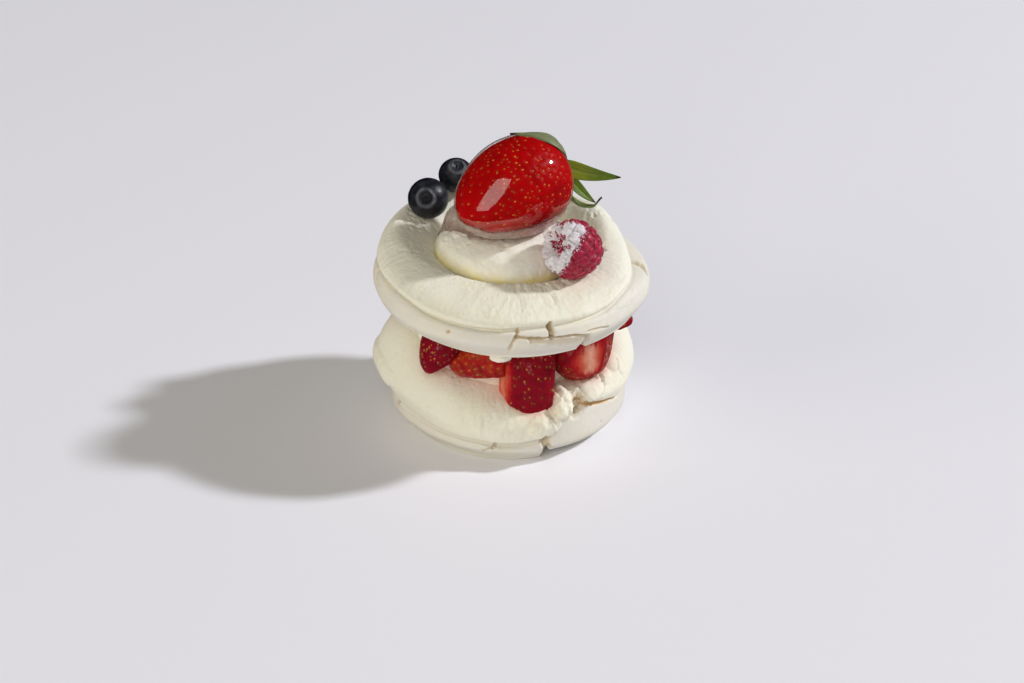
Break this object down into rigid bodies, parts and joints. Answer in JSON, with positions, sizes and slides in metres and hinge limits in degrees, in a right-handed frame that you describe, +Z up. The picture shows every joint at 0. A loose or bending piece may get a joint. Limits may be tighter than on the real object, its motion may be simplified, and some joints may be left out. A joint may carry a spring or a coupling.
{
  "type": "pavlova",
  "caption": "Two-tier meringue pavlova with cream and cut strawberries between the nests and a glazed strawberry, blueberries and a raspberry on top.",
  "frame": {"origin": "centre of the flat underside of the lower meringue nest", "axes": "+Z up through both nests, -Y out of the front where the largest cut strawberry hangs over the crust, +X to the right of the front"},
  "size_m": [0.0864, 0.0849, 0.0926],
  "materials": {
    "meringue": "baked meringue, off-white, matt and finely pitted",
    "cream": "piped cream, ivory, soft sheen",
    "cut_strawberry": "cut strawberry, wet, dark red skin with pale red cut faces and seeds",
    "strawberry_skin": "bright red strawberry skin with yellow seeds under a clear glaze",
    "leaf": "fresh green strawberry leaf, satin",
    "blueberry_skin": "dark blue-black skin with a greyish bloom",
    "raspberry_skin": "crimson drupelets, satin",
    "seed": "strawberry seeds, straw yellow to orange",
    "glaze": "clear jelly glaze, wet gloss",
    "sugar": "powdered sugar, matt white"
  },
  "bodies": {
    "root": {"meringue_lower": "meringue", "meringue_upper": "meringue", "strawberry_slice_1": "cut_strawberry", "strawberry_slice_2": "cut_strawberry", "strawberry_slice_3": "cut_strawberry", "strawberry_slice_4": "cut_strawberry", "strawberry_slice_5": "cut_strawberry", "strawberry_slice_6": "cut_strawberry", "strawberry_slice_7": "cut_strawberry", "strawberry_slice_8": "cut_strawberry", "strawberry_slice_9": "cut_strawberry", "strawberry_slice_10": "cut_strawberry", "cream_filling": "cream", "cream_swirl": "cream", "strawberry_whole": "strawberry_skin", "strawberry_calyx": "leaf", "blueberry_1": "blueberry_skin", "blueberry_2": "blueberry_skin", "raspberry": "raspberry_skin"}
  },
  "joints": []
}
